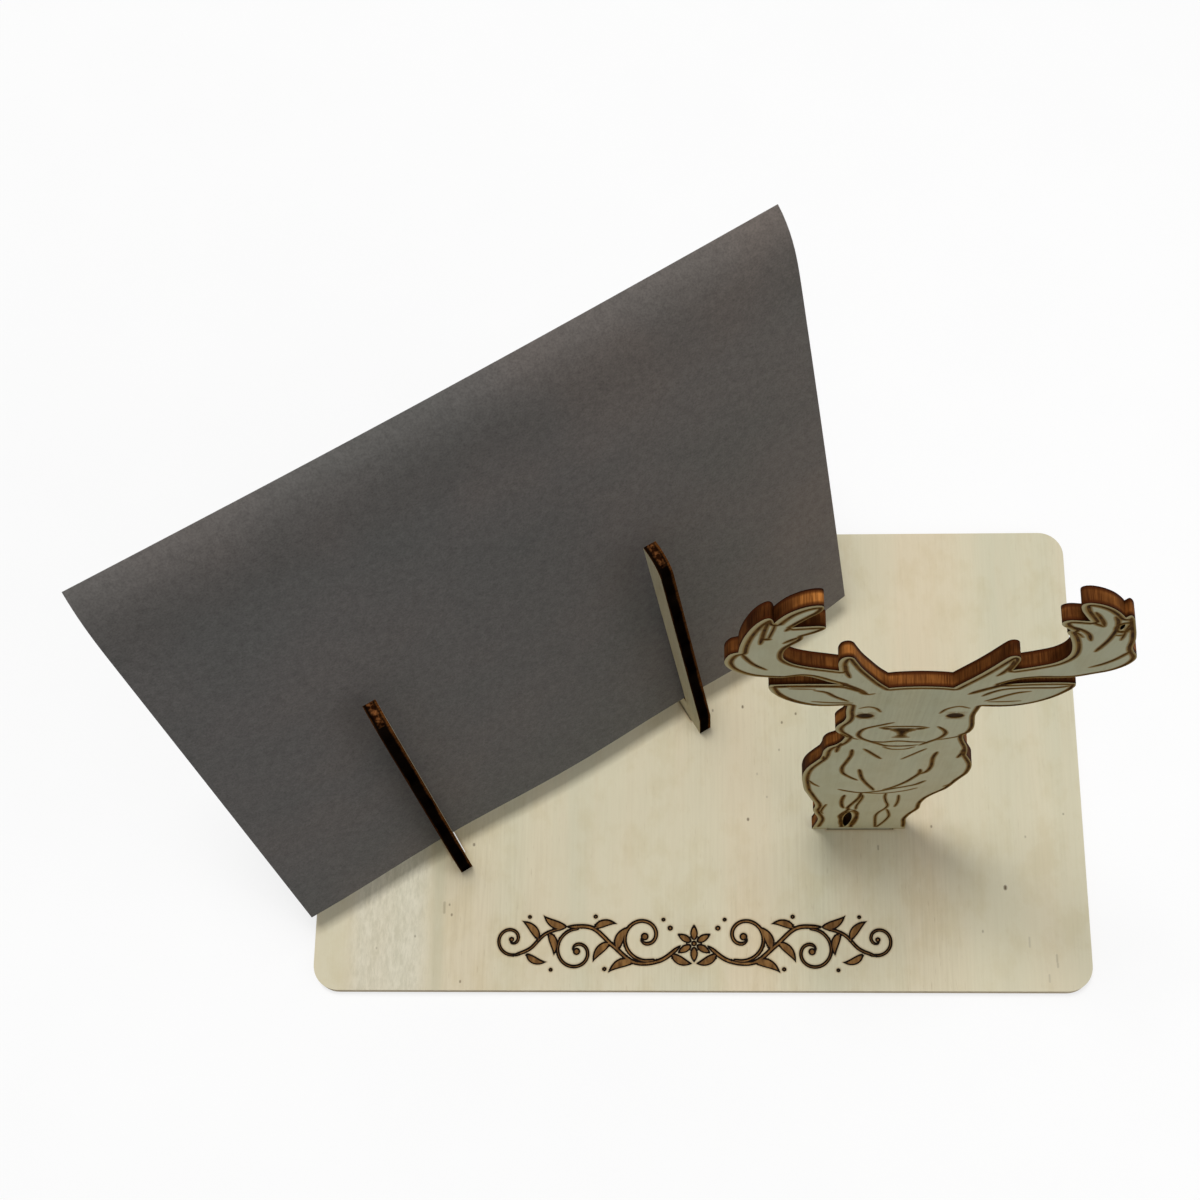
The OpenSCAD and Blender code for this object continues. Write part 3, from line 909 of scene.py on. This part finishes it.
FACE_LINES = (
    (FINE, ((-10, 105.6), (-8.5, 106.6), (-7, 105.5), (-6, 103))),
    (FINE, ((5, 102), (6, 105), (8, 106.7), (10, 105.5))),
    (LINE, ((-3, 95.5), (-4.5, 94.2), (-8, 91), (-9, 87), (-8.3, 84), (-6.5, 81.5),
            (-4.5, 79.3), (-3, 77.5))),
    (LINE, ((5.7, 92.5), (7.2, 89.5), (7.6, 87), (6.8, 83.8), (5, 80.8), (3.5, 78.3))),
    (LINE, ((-6.2, 81.5), (-4, 80.8), (-1, 81.6), (2, 80.9), (4.5, 80.8))),
    (LINE, ((-4.8, 79.5), (-3, 78), (-0.8, 77.6), (1.5, 77.9), (3, 78.6))),
    (FINE, ((-3.4, 77), (-2, 75.4), (-0.6, 75), (1.2, 75.4), (2.6, 77))),
    (FINE, ((-12.5, 87.5), (-11, 85), (-8.9, 83))),
    (FINE, ((11.5, 86.3), (9.5, 84.3), (6.5, 82.3))),
    (LINE, ((-5.3, 91.7), (-3.6, 92.4), (-0.7, 92.6), (2.2, 92.4), (3.9, 91.7))),
)

# The nose's dark shape, filled by short wide strokes.
NOSE_FILL = (
    (1.2, ((-4.9, 91.3), (-3.9, 90.9), (-2.6, 90.5))),
    (1.2, ((3.5, 91.3), (2.5, 90.9), (1.2, 90.5))),
    (1.3, ((-3.2, 90.6), (1.8, 90.6))),
    (1.2, ((-2.8, 89.6), (1.4, 89.6))),
    (1.1, ((-2.1, 88.8), (0.7, 88.8))),
    (1.1, ((-1.6, 88), (0.2, 88))),
    (1.1, ((-1.4, 87.2), (0.0, 87.2))),
    (1.1, ((-1.35, 86.3), (-0.05, 86.3))),
    (1.0, ((-1.6, 85.5), (0.2, 85.5))),
    (0.9, ((-2.2, 84.6), (0.8, 84.6))),
)

CHEST_LINES = (
    (LINE, ((-7, 75.5), (-3, 67.3))),
    (FINE, ((5.2, 75.5), (1.2, 67))),
    (LINE, ((-9.3, 75), (-9.2, 70), (-9.8, 64), (-10.2, 60), (-9.8, 55.5), (-8.3, 52),
            (-6.3, 48.7))),
    (LINE, ((7.7, 73), (7.4, 68), (7.8, 61), (7.4, 56.5), (6.3, 54))),
    (LINE, ((5.9, 58.5), (6.1, 55), (5.2, 51), (3.8, 46.5), (1.6, 42), (0, 40.3))),
    (LINE, ((-6.6, 58.5), (-5.5, 51), (-4.2, 46), (-2.5, 41), (-2.1, 39.3))),
    (LINE, ((-9.6, 40.5), (-7.5, 38.6), (-4.5, 37.2), (-1, 38.5), (2, 41), (4.5, 43), (6.5, 45),
            (8, 48.3))),
    (FINE, ((-4.5, 37.2), (-1, 36.5), (2, 37.3), (5, 39.3), (7, 41.6))),
    (LINE, ((-11.8, 80), (-12.2, 76.5), (-12.3, 72.8))),
    (LINE, ((-14.6, 69.5), (-14.3, 65.3))),
    (FINE, ((-16.5, 49), (-15.5, 46), (-14, 43))),
    (LINE, ((12.5, 75), (12.7, 72), (12.3, 68))),
    (FINE, ((15, 52), (14.2, 49), (13.7, 45.5), (12.5, 43))),
)
LEG_LINES = (
    (LINE, ((-7.9, 35), (-8.1, 31.8), (-8.1, 28.2), (-7.7, 24.1), (-7.2, 21.8))),
    (FINE, ((-11.3, 25.9), (-11.8, 21.8), (-12, 18.2), (-11.5, 16.4))),
    (LINE, ((-4.5, 37), (-4.5, 33.2), (-5.2, 28.6), (-5.9, 25), (-6.3, 22.3), (-6.1, 20),
            (-7, 16.8), (-7.5, 13.6), (-7, 10), (-6.5, 5.5), (-6.3, 0.5))),
    (FINE, ((-4, 35), (-3.9, 31.8), (-4.2, 27.7), (-4.5, 24.1), (-4.4, 20.5))),
    (LINE, ((-6.1, 20.5), (-4.7, 19.5), (-3.8, 16.8), (-3.7, 13.6), (-3.9, 10), (-4.2, 5.5),
            (-4, 0.9))),
    (FINE, ((0.9, 36.8), (0.95, 33.2), (1.6, 28.6), (2.3, 25), (2.1, 21.8), (1, 17.7),
            (0.6, 14.1), (0.9, 9.1), (1.3, 4.5), (1.6, 0.9))),
    (FINE, ((2.5, 20.9), (3.2, 17.3), (3.6, 13.6), (3.2, 9.1), (2.5, 5), (1.6, 0.9))),
    (FINE, ((3.8, 35), (4.1, 30.9), (4.2, 27.3), (4, 23.2))),
)
# The eyes are ovals: the middles, half the length between their ends, and the radii along it.
EYES = ((-8.7, 100.2), (8.0, 100.2))
EYE_REACH = 0.2
EYE_RADII = (1.4, 1.7, 1.4)
# The chest's and the legs' lines lean to the left, from none at the chin to this at the foot.
LEAN = 0.9
CHIN_Z = 85
# A burnt line follows the outline at this distance, a little off to the right and down.
INSET = 0.85
INSET_SHIFT = (0.3, -0.3)
INSET_HALF_WIDTH = 0.36
# It ends between these heights above the plate, over the foot.
INSET_ENDS = (1.5, 2.5)
STAG_DEPTH = 0.2
# Where the skin needs rows of points: signed distances from the lines' borders, and from the
# middle of the line that follows the outline.
LINE_ROWS = (0.36, 0.14, 0.0, -0.16)
INSET_ROWS = (-0.72, -0.5, -0.36, -0.18, 0.0, 0.18, 0.36, 0.5, 0.72)
STAG_GRID = 2.0


def drawn(points, leaning=False):
    """Points of the stag's drawing as places on its front face."""
    placed = np.array(points, float)
    if leaning:
        placed[:, 0] -= LEAN * (1 - placed[:, 1] / CHIN_Z)
    return placed * (DRAWN_TO_X, DRAWN_TO_Z) + (FIGURE_X, PLATE_T)


def filled_strokes():
    """The nose and the eyes, which are burnt darker than the lines."""
    made = [stroke(drawn(points), width) for width, points in NOSE_FILL]
    for x, z in EYES:
        left, right = drawn([(x - EYE_REACH, z), (x + EYE_REACH, z)])
        made.append((np.array([left, (left + right) / 2, right]), np.array(EYE_RADII)))
    return made


def line_strokes():
    """All the stag's lines."""
    upright = ANTLER_LINES + EAR_LINES + FACE_LINES
    made = [stroke(drawn(points), width) for width, points in upright]
    for width, points in CHEST_LINES + LEG_LINES:
        made.append(stroke(drawn(points, leaning=True), width))
    return made


def make_stag():
    """The CAD figure with the stag's lines in its front face."""
    filled = filled_strokes()
    strokes = line_strokes() + filled

    def extra(loops):
        outline = np.vstack(loops)
        low, high = outline.min(0), outline.max(0)
        across = np.arange(low[0], high[0], STAG_GRID)
        upward = np.arange(low[1], high[1], STAG_GRID)
        grid = np.array([(x, z) for x in across for z in upward])
        inset = outline_rows(loops, [INSET + row for row in INSET_ROWS], np.array(INSET_SHIFT))
        return np.vstack([grid, rows_along(strokes, LINE_ROWS), inset])

    def carve(points, loops):
        starts, ends = segments(loops)
        to_edge = distance_to_lines(points, starts, ends)
        # The line that follows the outline isn't burnt over the foot and its tab.
        shifted = distance_to_lines(points - INSET_SHIFT, starts, ends)
        shifted = np.where(inside(points - INSET_SHIFT, loops), shifted, 0)
        above_foot = smoothstep(points[:, 1] - PLATE_T, *INSET_ENDS)
        ring = np.abs(shifted - INSET) - INSET_HALF_WIDTH * above_foot
        away = np.minimum(distance_to_strokes(points, strokes), ring)
        away = np.where(above_foot > 0, away, np.maximum(away, 0.3))
        groove = smoothstep(-away, -0.03, 0.3)
        return STAG_DEPTH * groove, {
            "groove": groove,
            "scorch": 0.9 * smoothstep(-away, -0.34, -0.04),
            "rim": 0.7 * smoothstep(-to_edge, -1.1, -0.5),
            "deep": 0.75 * smoothstep(-distance_to_strokes(points, filled), 0.05, 0.4),
        }

    back_y = FIGURE_FRONT_Y + PLATE_T
    finishes = [
        stag_face_finish(),
        cut_edge_finish("stag_cut_edge", FIGURE_FRONT_Y, back_y, 1),
        plain_face_finish("stag_back", 2),
        # The walls of the stag's small holes are darkened with painted shade.
        cut_edge_finish("stag_hole_wall", FIGURE_FRONT_Y, back_y, 1, painted_hole_shade=True),
    ]
    piece = skinned("stag_engraved", "stag_figure", X, Z, -Y, extra, carve, finishes)
    return piece


# The card and the forks.
CARD_CREASE = 35


def make_card():
    """The CAD card with its split corners joined, so that the curl is shaded smoothly."""
    bm = welded_copy("card")
    for face in bm.faces:
        face.smooth = True
    for edge in bm.edges:
        bend = edge.calc_face_angle() if len(edge.link_faces) == 2 else math.pi
        edge.smooth = bend < math.radians(CARD_CREASE)
    top = max(v.co.z for v in bm.verts)
    piece = finished("card_sheet", bm, "card", [card_finish(top)])
    return piece


def dress_forks():
    """The forks stay CAD nodes and get their finish here."""
    for node, place in FORK_PLACES.items():
        mesh = frame["nodes"][node].data
        mesh.materials.clear()
        mesh.materials.append(fork_finish(node + "_plywood", place))


# Stage, light and camera. The camera sees a mix of the lit floor, which has the soft shadow, and
# pure white. This is the white's share near the object, and it grows to 1 between two distances.
FLOOR_WHITE = 0.72
FLOOR_FADE_M = (0.2, 0.7)
FLOOR_HALF_M = 5.0
# As a reflector the floor is a mid grey. It lies this far below the plate.
FLOOR_BOUNCE = 0.5
FLOOR_DROP = 0.2


def make_floor():
    """A pale floor that the camera sees as white, with the object's soft shadow still on it."""
    bm = bmesh.new()
    bmesh.ops.create_grid(bm, x_segments=1, y_segments=1, size=FLOOR_HALF_M)
    mesh = bpy.data.meshes.new("floor")
    bm.to_mesh(mesh)
    bm.free()
    floor = new_object("floor", mesh)
    # A hair below the plate's underside, so that no two faces lie in one plane.
    floor.location.z = -FLOOR_DROP * MM
    look = Look("pale_floor", roughness=0.9, specular=0.1)
    grain = look.noise((30, 30, 30), 3)
    look.done(look.ramp(grain, [(0.3, tone(249, 249, 249)), (0.7, tone(252, 252, 252))]))
    white = look.node("Emission")
    dim = look.node("BsdfDiffuse")
    dim.inputs["Color"].default_value = (FLOOR_BOUNCE, FLOOR_BOUNCE, FLOOR_BOUNCE, 1)
    rays = look.node("LightPath")
    through = look.math("MAXIMUM", rays.outputs["Is Glossy Ray"], rays.outputs["Is Transmission Ray"])
    seen = look.math("MAXIMUM", rays.outputs["Is Camera Ray"], through)
    # Away from the object the floor fades into the white round it, so no horizon shows.
    away = look.node("VectorMath")
    away.operation = "LENGTH"
    look.feed(away.inputs[0], look.place)
    faded = look.spread(away.outputs["Value"], *FLOOR_FADE_M, FLOOR_WHITE, 1.0)
    shown = look.node("MixShader")
    blend = look.node("MixShader")
    for mixer, values in (
        (shown, (faded, look.shader.outputs[0], white.outputs[0])),
        (blend, (seen, dim.outputs[0], shown.outputs[0])),
    ):
        for socket, value in zip(mixer.inputs, values):
            look.feed(socket, value)
    output = next(n for n in look.tree.nodes if n.type == "OUTPUT_MATERIAL")
    look.feed(output.inputs["Surface"], blend.outputs[0])
    mesh.materials.append(look.material)


def make_world(overhead, sideways):
    """Soft light from all round, stronger from above. The camera sees plain white there."""
    world = bpy.data.worlds.new("studio")
    world.use_nodes = True
    tree = world.node_tree
    light = tree.nodes["Background"]
    way = new_node(tree, "TexCoord")
    parts = new_node(tree, "SeparateXYZ")
    level = new_node(tree, "MapRange")
    level.inputs["To Min"].default_value = sideways
    level.inputs["To Max"].default_value = overhead
    white = new_node(tree, "Background")
    white.inputs["Color"].default_value = WHITE
    rays = new_node(tree, "LightPath")
    blend = new_node(tree, "MixShader")
    output = next(n for n in tree.nodes if n.type == "OUTPUT_WORLD")
    light.inputs["Color"].default_value = WHITE
    for source, socket in (
        (way.outputs["Generated"], parts.inputs[0]),
        (parts.outputs["Z"], level.inputs["Value"]),
        (level.outputs["Result"], light.inputs["Strength"]),
        (rays.outputs["Is Camera Ray"], blend.inputs[0]),
        (light.outputs[0], blend.inputs[1]),
        (white.outputs[0], blend.inputs[2]),
        (blend.outputs[0], output.inputs["Surface"]),
    ):
        tree.links.new(source, socket)
    bpy.context.scene.world = world


def make_lamp(name, place, aim, size, level):
    """A soft lamp. Lengths are metres. Its level is how bright it makes a white surface."""
    start, target = Vector(place), Vector(aim)
    data = bpy.data.lights.new(name, "AREA")
    data.shape = "RECTANGLE"
    data.size, data.size_y = size
    data.energy = level * math.pi**2 * (target - start).length_squared
    lamp = new_object(name, data)
    lamp.location = start
    lamp.rotation_euler = (target - start).to_track_quat("-Z", "Y").to_euler()


# The photograph's camera, fitted to the plate's, the card's, the forks' and the stag's edges.
CAMERA_AT = (2.841, -118.164, 441.161)
CAMERA_DOWN = 70.6692
CAMERA_YAW = 6.7139
CAMERA_ROLL = 6.6493
PHOTO_PIXELS = 1200
FOCAL_PIXELS = 1863.70
CENTRE_PIXEL = (638.19, 619.80)
SENSOR = 36.0
CLIP_START_M = 0.01


def make_camera():
    """The photograph's camera."""
    down, yaw, roll = (math.radians(a) for a in (CAMERA_DOWN, CAMERA_YAW, CAMERA_ROLL))
    right = Vector((math.cos(yaw), math.sin(yaw), 0))
    level = Vector((-math.sin(yaw), math.cos(yaw), 0))
    forward = math.cos(down) * level - Vector((0, 0, math.sin(down)))
    below = -math.sin(down) * level - Vector((0, 0, math.cos(down)))
    image_right = math.cos(roll) * right + math.sin(roll) * below
    image_down = -math.sin(roll) * right + math.cos(roll) * below
    axes = Matrix((image_right, -image_down, -forward)).transposed()

    data = bpy.data.cameras.new("photo_camera")
    data.sensor_width = SENSOR
    data.lens = FOCAL_PIXELS * SENSOR / PHOTO_PIXELS
    data.shift_x = -(CENTRE_PIXEL[0] - PHOTO_PIXELS / 2) / PHOTO_PIXELS
    data.shift_y = (CENTRE_PIXEL[1] - PHOTO_PIXELS / 2) / PHOTO_PIXELS
    data.clip_start = CLIP_START_M
    camera = new_object("photo_camera", data)
    camera.matrix_world = Matrix.Translation(Vector(CAMERA_AT) * MM) @ axes.to_4x4()
    bpy.context.scene.camera = camera


make_plate()
make_stag()
make_card()
dress_forks()
make_floor()
make_world(overhead=0.44, sideways=0.2)
make_lamp("key", place=(-0.11, 0.15, 1.15), aim=(0, 0, 0.03), size=(0.2, 0.34), level=0.6)
make_lamp("fill", place=(0.45, -0.2, 0.4), aim=(0, 0, 0.06), size=(0.5, 0.5), level=0.16)
make_camera()
bpy.context.scene.view_settings.view_transform = "Standard"
